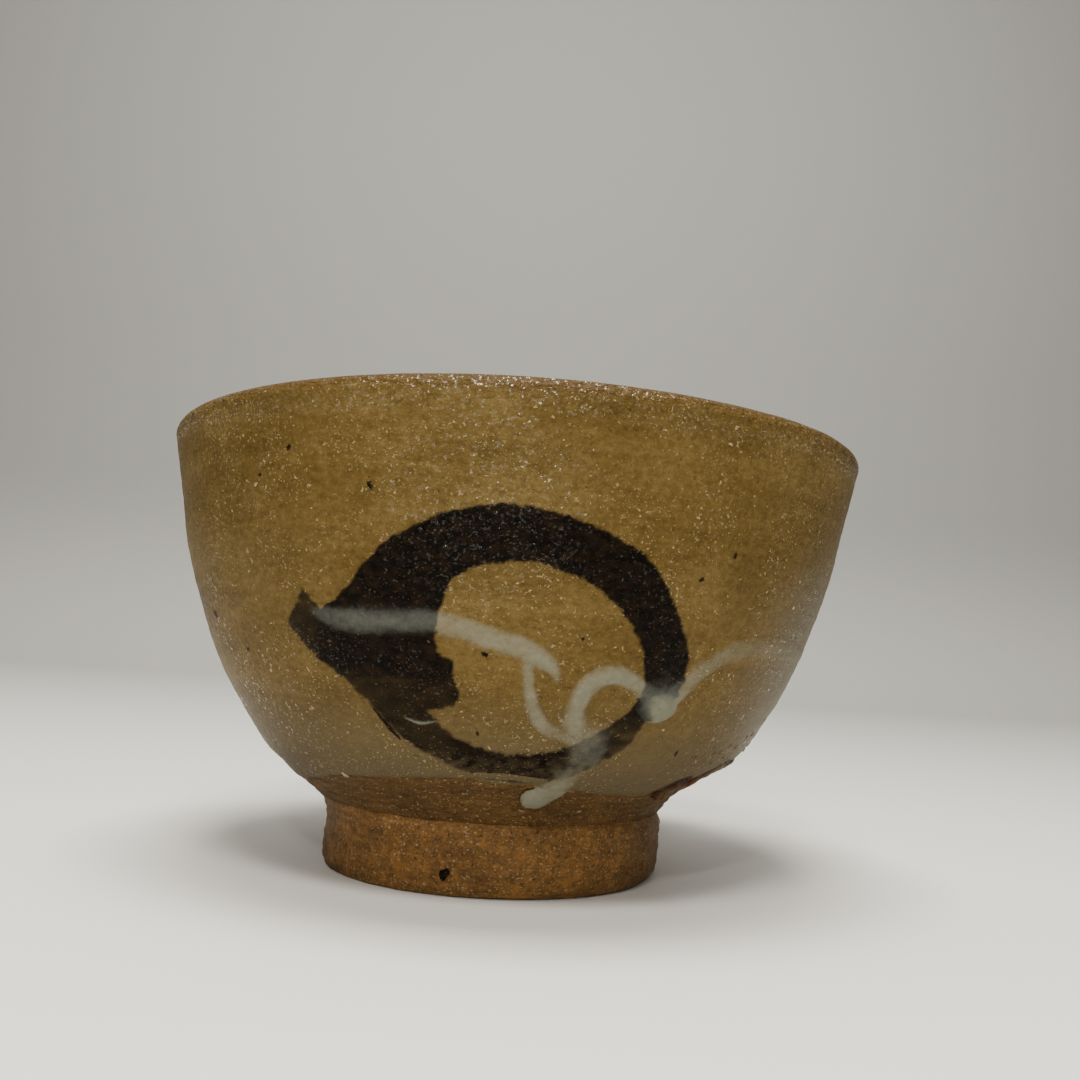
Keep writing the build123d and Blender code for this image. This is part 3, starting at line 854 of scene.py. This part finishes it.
def clay_wall_mesh():
    """The bare band over the foot, the clay behind the glaze's edge, and the foot's recess."""
    levels = np.linspace(FOOT_TOP - 0.4, 27.0, 70)
    under_coat = radius_at(levels) - COAT * fade(levels, FOOT_TOP, FOOT_TOP + 2)
    band = profile_rings(np.column_stack([under_coat, levels]))

    def trimmed(b, k):
        z = levels[k]
        cut = 0.07 * np.sin(z * 2 * pi / 1.15 + around_noise(b, z, cells=6, height=2, seed=61))
        scratches = 0.16 * around_noise(b, z, cells=150, height=0.9, seed=62)
        cut += scratches * around_noise(b, z, cells=24, height=2.5, seed=63)
        cut += 0.09 * around_noise(b, z, cells=90, height=0.8, seed=64)
        groove = 0.35 * bell(z, FOOT_TOP, 0.5)  # where the foot meets the wall
        return cut + bulge(b, z) - groove

    outline = [(22.6, 6.4), (16.0, 6.7), (9.0, 6.4), (4.0, 6.5), (2.2, 5.9), (0.05, 5.5)]
    recess = profile_rings(smooth_curve(outline, 0.5), -1)

    def spiral(b, k):
        r = recess[k, 0]
        return 0.12 * np.sin(r * 2 * pi / 3.0 + np.radians(b)) * fade(r, 3, 6)

    return joined([turned(band, COLUMNS, trimmed), turned(recess, 240, spiral)])


def foot_mesh():
    """The trimmed foot ring, sharper at the left than at the right."""
    base = FOOT_RADIUS - 1.1
    outline = [
        (FOOT_RADIUS - 0.25, FOOT_TOP + 0.25), (FOOT_RADIUS, FOOT_TOP - 0.6), (29.75, 8.5),
        (29.35, 4.0), (base, 1.2), (base - 0.35, 0.35), (base - 1.3, 0.02), (26.5, 0.0),
        (24.9, 0.02), (24.1, 0.4), (23.6, 1.6), (22.6, 4.4), (21.9, 6.9),
    ]
    rings = profile_rings(smooth_curve(outline, 0.28), -1)

    def relief(b, k):
        r, z = rings[k, 0], rings[k, 1]
        side = fade(r, 28.0, 29.0)
        shift = 2 * around_noise(b, z, cells=5, height=3, seed=71)
        cut = 0.06 * np.sin(z * 2 * pi / 1.6 + shift) * side
        cut += 0.14 * around_noise(b, z, cells=130, height=0.9, seed=72) * side
        cut += 0.18 * around_noise(b, z, cells=14, height=3.0, seed=73) * side
        right = bell(b, 75, 42.0) + 0.4 * bell(b, 15, 30.0)
        rounding = 0.8 * right * fade(2.6 - z, 0, 2.6) * fade(r, 26.8, 28.8)
        left = bell(b, -85, 42.0)
        flare = 1.2 * left * fade(9 - z, 0, 8) * fade(r, 26.0, 27.5)
        return cut + flare - rounding

    points, faces = turned(rings, 520, relief)
    points[:, 2] = np.maximum(points[:, 2], 0.0)  # nothing goes below the table
    return points, faces


new_piece("outer_glaze_coat", "outer_glaze", "outer_glaze", torn_glaze, *outer_glaze_mesh())
new_piece("inner_glaze_coat", "inner_glaze", "inner_glaze", amber_glaze, *inner_glaze_mesh())
new_piece("bare_clay_wall", "clay_wall", "wall_clay", bare_clay, *clay_wall_mesh())
new_piece("trimmed_foot_ring", "foot_ring", "foot_clay", foot_clay, *foot_mesh())

# ---- brushwork


def stroke(depth, cover, thick, margin=0.3):
    """What a field returns for iron: a film that goes a margin past it and ends under the
    coat, and the iron's own thickness where it covers. depth is the distance inside it."""
    height = FILM * fade(depth, -margin, -0.1) - SUNK + thick * cover
    return height, depth > -margin, {"iron": cover}


def ring_field(u, z, around):
    """The brushed ring."""
    depth = iron_depth(u, z)
    return stroke(depth, iron_cover(u, z, depth), thick=0.05, margin=0.35)


# The hair stroke: (across, height, half width).
HAIR = [(-18.7, 29.8, 0.12), (-16.6, 27.4, 0.34), (-15.2, 25.9, 0.3), (-14.2, 24.9, 0.1)]


def hair_field(u, z, around):
    """The hair-thin stroke below the ring."""
    d, half = distance_to_curve(u, z, smooth_curve(HAIR))
    depth = half[:, 0] - d
    cover = fade(depth + 0.08 * noise(u / 0.4, z / 0.4, 35), -0.1, 0.15)
    return stroke(depth, cover, thick=0.04)


ring = patch(0, (-33, 28), (18, 59.5), 0.24, ring_field)
new_piece("brushed_iron_ring", "iron_ring", "iron_brushwork", iron_paint, *ring)
hair = patch(0, (-20, -13), (24, 31), 0.12, hair_field)
new_piece("iron_hair_stroke", "iron_hair", "iron_brushwork", iron_paint, *hair)

# ---- white trails
LOWER_POURS = [TRAIL_MIDDLE, TRAIL_HAZE, TRAIL_RUN, [DROP_LOWER]]
RIGHT_POURS = [TRAIL_RIGHT, FILM_RIGHT, [DROP_RIGHT]]
# Each trail's node, the bearing it's seen from, its ranges across and up, and its pours.
TRAILS = [
    ("white_trail_upper", 0, (-29, 10), (32, 45), [TRAIL_UPPER]),
    ("white_trail_lower", 0, (1, 20), (13.5, 40), LOWER_POURS),
    ("white_trail_loop", 0, (7, 25), (25, 39), [TRAIL_LOOP]),
    ("white_trail_right", RIGHT_BEARING, (-23, 28), (28, 44), RIGHT_POURS),
    ("white_fleck", 0, (-15, -8), (26, 30), [FLECK]),
]
for node, bearing, u_range, z_range, pours in TRAILS:
    beside = []
    for other, other_bearing, _, _, other_pours in TRAILS:
        if other != node:
            beside += [seen_from_front(pour, other_bearing) for pour in other_pours]
    trail = patch(bearing, u_range, z_range, 0.16, poured(pours, beside))
    new_piece(f"{node}_pour", node, "white_glaze", white_glaze, *trail)

# ---- spots and grains
# Iron spots: (bearing, height, radius). They sit where the CAD's do.
SPOTS = [
    (-32.8, 64.9, 0.55), (-38.8, 61.5, 0.4), (-19.8, 59.5, 0.6), (33.8, 53.6, 0.5),
    (28.6, 49.8, 0.5), (-3, 37.7, 0.55), (-4, 26.6, 0.35), (11.5, 40.6, 0.35),
    (-49.8, 36.4, 0.45), (-60.2, 41.5, 0.8), (36.8, 24.5, 0.5), (85, 60, 0.5),
    (112, 46, 0.6), (149, 33, 0.5), (-171, 55, 0.6), (-131, 47, 0.5),
    (-96, 28, 0.6),
]
# Pale grains: (bearing, height, radius), of which a share shows.
GRAIN_SHARE = 0.46
GRAINS = [
    (29.5, 71, 0.9), (29, 68.6, 0.8), (-6, 61.5, 0.8), (-39.8, 60.2, 0.9),
    (-29.5, 59.6, 0.7), (-35.8, 18.1, 1.3), (-11.8, 59.2, 0.6), (26, 58.1, 0.7),
    (53, 47.5, 0.8), (4.2, 61, 0.7), (-82, 52, 0.8), (96, 38, 0.9),
    (128, 58, 0.7), (165, 44, 0.9), (-150, 62, 0.8), (-118, 34, 0.7),
]


def spot_field(height, radius, seed):
    """A burnt iron spot with an uneven outline."""

    def field(u, z, around):
        up = z - height
        angle = np.arctan2(up, u)
        wave = 0.22 * np.sin(2 * angle + seed) + 0.16 * np.sin(5 * angle + 2.3 * seed)
        depth = radius * (1 + wave) - np.hypot(u, up)
        return stroke(depth, fade(depth, -0.12, 0.18), thick=0.06)

    return field


def round_patch(bearing, z, reach, step, field):
    """A small square patch round a place on the wall."""
    return patch(bearing, (-reach, reach), (z - reach, z + reach), step, field)


spots = []
for i, (bearing, z, radius) in enumerate(SPOTS):
    field = spot_field(z, 0.8 * radius, seed=1.7 * i)
    spots.append(round_patch(bearing, z, radius + 0.6, 0.11, field))
new_piece("burnt_iron_spots", "iron_spots", "iron_spot", iron_paint, *joined(spots))


def disc_grid(rings, columns):
    """Shares of the radius and angles of a disc's points, from its middle outwards."""
    share = np.linspace(0, 1, rings)
    angle = np.linspace(0, 2 * pi, columns, endpoint=False)
    return np.meshgrid(share, angle, indexing="ij")


def grain_lump(bearing, z, radius, seed):
    """A low melted lump that stands out of the glaze."""
    rings, columns = 7, 16
    k, a = disc_grid(rings, columns)
    reach = radius * (0.85 + 0.24 * np.sin(2 * a + seed) + 0.14 * np.sin(3 * a + 2 * seed))
    reach *= 1 + 0.1 * np.sin(5 * a + 3 * seed)
    du, dz = reach * k * np.cos(a), reach * k * np.sin(a) * 0.85
    height = 0.5 * radius * np.sqrt(np.clip(1 - k**2, 0, 1)) - 0.03
    around = bearing + np.degrees(du / radius_at(z + dz))
    points = on_wall(around, z + dz, height).reshape(-1, 3)
    return points, grid_faces(rings, columns, True).tolist()


grains = [grain_lump(b, z, GRAIN_SHARE * r, 2.1 * i) for i, (b, z, r) in enumerate(GRAINS)]
new_piece("melted_feldspar_grains", "feldspar_grains", "feldspar", feldspar(), *joined(grains))


def foot_grain():
    """The iron grain bedded in the foot: a rough, low lump on the ring's outside."""
    low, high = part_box("foot_iron_grain")
    x, y, z = [(a + b) / 2 / MM for a, b in zip(low, high)]
    rings, columns = 6, 18
    k, a = disc_grid(rings, columns)
    reach = 0.75 * (1 + 0.25 * np.sin(2 * a + 0.5) + 0.15 * np.sin(3 * a))
    across, up = reach * k * np.cos(a), reach * k * np.sin(a) * 1.3
    r = 29.45 + 0.12 * np.sqrt(np.clip(1 - k**2, 0, 1))  # just proud of the ring's side
    b = np.arctan2(x, -y) + across / r
    points = np.stack([r * np.sin(b), -r * np.cos(b), z + up], -1).reshape(-1, 3)
    return points, grid_faces(rings, columns, True).tolist(), {"iron": np.ones(rings * columns)}


new_piece("bedded_iron_grain", "foot_iron_grain", "iron_spot", iron_paint, *foot_grain())

# ---- the torn glaze edge
FLAP_BEARING = 56  # the flap is seen square from here
# The crack under it, where the flap parts from the clay: (bearing, height). The crack above
# it is the glaze's own edge.
CRACK_BELOW = [
    (38, 16.9), (42, 16.6), (46, 16.4), (51, 17), (56, 18.1), (62, 19.6), (66, 20.6),
    (70, 22.6), (74, 25),
]


def flap_field(u, z, around):
    """The flap between the two cracks: its height over the glaze, how dark, with painted shade in
    the cracks' gaps, and how bare.
    """
    line = smooth_curve(CRACK_BELOW, 0.35)
    low = np.interp(around, line[:, 0], line[:, 1])
    low = low + 0.3 * noise(around / 1.3, 0 * z, 85) + 0.16 * noise(around / 0.5, 0 * z, 86)
    high = edge_height(around)
    open_share = fade(around, TEAR_START, TEAR_START + 5) * fade(TEAR_END - around, 0, 4)
    uneven = 0.7 * noise(around / 4.1, 0 * z, 87)
    wide = 0.3 * (1 + uneven + 0.3 * noise(around / 0.9, 0 * z, 88))
    under_coat = high - z  # distance below the crack above
    over_clay = z - low  # distance above the crack below
    gap_above = 1 - fade(under_coat, 1.2 * wide, 3.0 * wide)
    gap_below = 1 - fade(over_clay, 0.5 * wide, 2.0 * wide)
    inside = (under_coat > 0) & (over_clay > 0)
    near = np.minimum(np.abs(under_coat), np.abs(over_clay))
    curl = 0.3 * bell(near, 1.0, 0.5)
    rough = 0.2 * noise(u / 1.2, z / 0.7, 83) + 0.12 * noise(u / 0.45, z / 0.3, 84)
    deep = np.maximum(gap_above, gap_below)
    glazed = 0.85 * fade(around, 54, 61)  # the right end kept most of its glaze
    height = (0.1 + curl + rough) * open_share * (1 - deep) * (1 - 0.5 * glazed)
    height -= 0.3 * gap_above + 0.62 * gap_below
    bare = np.clip(0.35 + 1.1 * noise(u / 1.5, z / 0.8, 89) + deep, 0, 1) * (1 - glazed)
    wanted = inside | (near < 0.45)
    wanted &= (around > TEAR_START) & (around < TEAR_END - 1)
    veins = 0.7 * fade(noise(u / 1.3, z / 0.42, 91), 0.35, 0.6) * (1 - glazed)
    # The iron field is dark in the cracks' gaps as painted shade, and along the veins as the
    # clay's own dark lines.
    return height, wanted, {"iron": 0.88 * np.maximum(deep, veins) * open_share, "bare": bare}


# Craters that burst in the glaze above the tear: (bearing, height, radius).
PITS = [
    (43, 23.6, 0.75), (49.5, 24.4, 0.5), (51, 22.6, 0.45), (52.6, 24.2, 0.6),
    (54.8, 25.4, 0.5), (55.6, 23.3, 0.4), (59, 25, 0.65), (62, 26.6, 0.45),
    (65.5, 26.9, 0.6), (69, 29.4, 0.55),
]


def pit_field(height, radius, seed):
    """A small burst bubble: a dark hollow in a low raised rim, broken on one side."""
    border = 1.5  # where the patch ends, in radii

    def field(u, z, around):
        up = z - height
        angle = np.arctan2(up, u)
        away = np.hypot(u, up * 1.5) / (radius * (1 + 0.2 * np.sin(3 * angle + seed)))
        rim = bell(away, 0.75, 0.22) * (0.7 + 0.4 * np.sin(angle + seed))
        hollow = 1 - fade(away, 0.25, 0.65)
        lift = 0.03 * fade(border - away, 0.0, 0.3) - SUNK + 0.1 * rim - 0.06 * hollow
        broken = fade(np.sin(angle + 2 * seed), -0.6, 0.4)
        ring = bell(away, 0.62, 0.16) * broken
        fields = {"iron": np.maximum(0.85 * ring, 0.4 * hollow), "bare": 0.3 * hollow}
        return lift, away < border, fields

    return field


torn = [patch(FLAP_BEARING, (-17, 18), (12.5, 27.5), 0.16, flap_field)]
for i, (bearing, z, radius) in enumerate(PITS):
    field = pit_field(z, radius, seed=1.9 * i)
    torn.append(round_patch(bearing, z, 1.6 * radius, 0.1, field))
new_piece("torn_glaze_flap", "torn_glaze_edge", "torn_glaze", torn_glaze, *joined(torn))

# ---- camera, floor and light
CAMERA_PLACE = (0.0, -199.8 * MM, 38.2 * MM)
YAW, PITCH, ROLL = radians(1.44), radians(6.01), radians(3.35)


def photo_camera():
    """The camera in front of the bowl, which looks a little up and leans a little."""
    data = bpy.data.cameras.new("photo_camera")
    data.sensor_width = 36
    data.lens = 36
    data.clip_start = 0.01
    data.clip_end = 50
    camera = bpy.data.objects.new("photo_camera", data)
    forward = Vector((sin(YAW) * cos(PITCH), cos(YAW) * cos(PITCH), sin(PITCH)))
    level = Vector((cos(YAW), -sin(YAW), 0))
    above = level.cross(forward)
    right = level * cos(ROLL) + above * sin(ROLL)
    up = above * cos(ROLL) - level * sin(ROLL)
    turn = Matrix((right, up, -forward)).transposed().to_4x4()
    camera.matrix_world = Matrix.Translation(CAMERA_PLACE) @ turn
    bpy.context.scene.collection.objects.link(camera)
    bpy.context.scene.camera = camera


photo_camera()


def sweep():
    """The floor and the wall behind as one sheet, joined by a wide curve."""
    bend, far = 0.5, 1.4  # the curve's radius and the wall's distance in metres
    arc = [(far - bend + bend * sin(a), bend - bend * cos(a)) for a in np.linspace(0, pi / 2, 33)]
    line = [(-3.0, 0.0), *arc, (far, 3.5)]
    corners = [(x, y, z) for y, z in line for x in (-5.0, 5.0)]
    faces = [[2 * i, 2 * i + 1, 2 * i + 3, 2 * i + 2] for i in range(len(line) - 1)]
    mesh = bpy.data.meshes.new("pale_sweep")
    mesh.from_pydata(corners, [], faces)
    mesh.polygons.foreach_set("use_smooth", np.ones(len(faces), bool))
    mesh.materials.append(sweep_material())
    obj = bpy.data.objects.new("pale_sweep", mesh)
    bpy.context.scene.collection.objects.link(obj)


sweep()


def lamp(name, place, target, size, power, colour):
    """An area lamp. Places and sizes are in metres, and power is in watts."""
    data = bpy.data.lights.new(name, "AREA")
    data.shape = "RECTANGLE"
    data.size, data.size_y = size
    data.energy = power
    data.color = colour
    obj = bpy.data.objects.new(name, data)
    obj.location = place
    obj.rotation_euler = (Vector(target) - obj.location).to_track_quat("-Z", "Y").to_euler()
    bpy.context.scene.collection.objects.link(obj)


WARM = (1.0, 0.965, 0.9)
SOFT = (1.0, 0.97, 0.92)
CLEAR = (1.0, 0.98, 0.95)
PLAIN = (1.0, 0.98, 0.94)
SPOT = (0.03, 0.03)
lamp("ceiling_light", (-0.01, -0.1, 0.62), (0, 0.04, 0.0), (0.24, 0.16), 5.0, WARM)
lamp("key_light", (-0.02, -0.3, 0.44), (0, -0.05, 0.055), (0.12, 0.08), 1.75, WARM)
lamp("front_fill", (-0.1, -0.8, 0.55), (0, 0, 0.04), (0.4, 0.4), 1.2, SOFT)
lamp("sparkle_light", (-0.07, -0.5, 0.34), (0, -0.06, 0.06), SPOT, 0.45, CLEAR)
lamp("glint_light", (-0.03, -0.55, 0.17), (0, -0.06, 0.05), SPOT, 0.85, CLEAR)
lamp("wall_light", (0.0, 0.35, 1.2), (0, 1.4, 0.45), (1.6, 0.4), 14.0, PLAIN)

world = bpy.data.worlds.new("studio")
world.use_nodes = True
background = world.node_tree.nodes["Background"]
background.inputs["Color"].default_value = (*PLAIN, 1)
background.inputs["Strength"].default_value = 0.06
bpy.context.scene.world = world
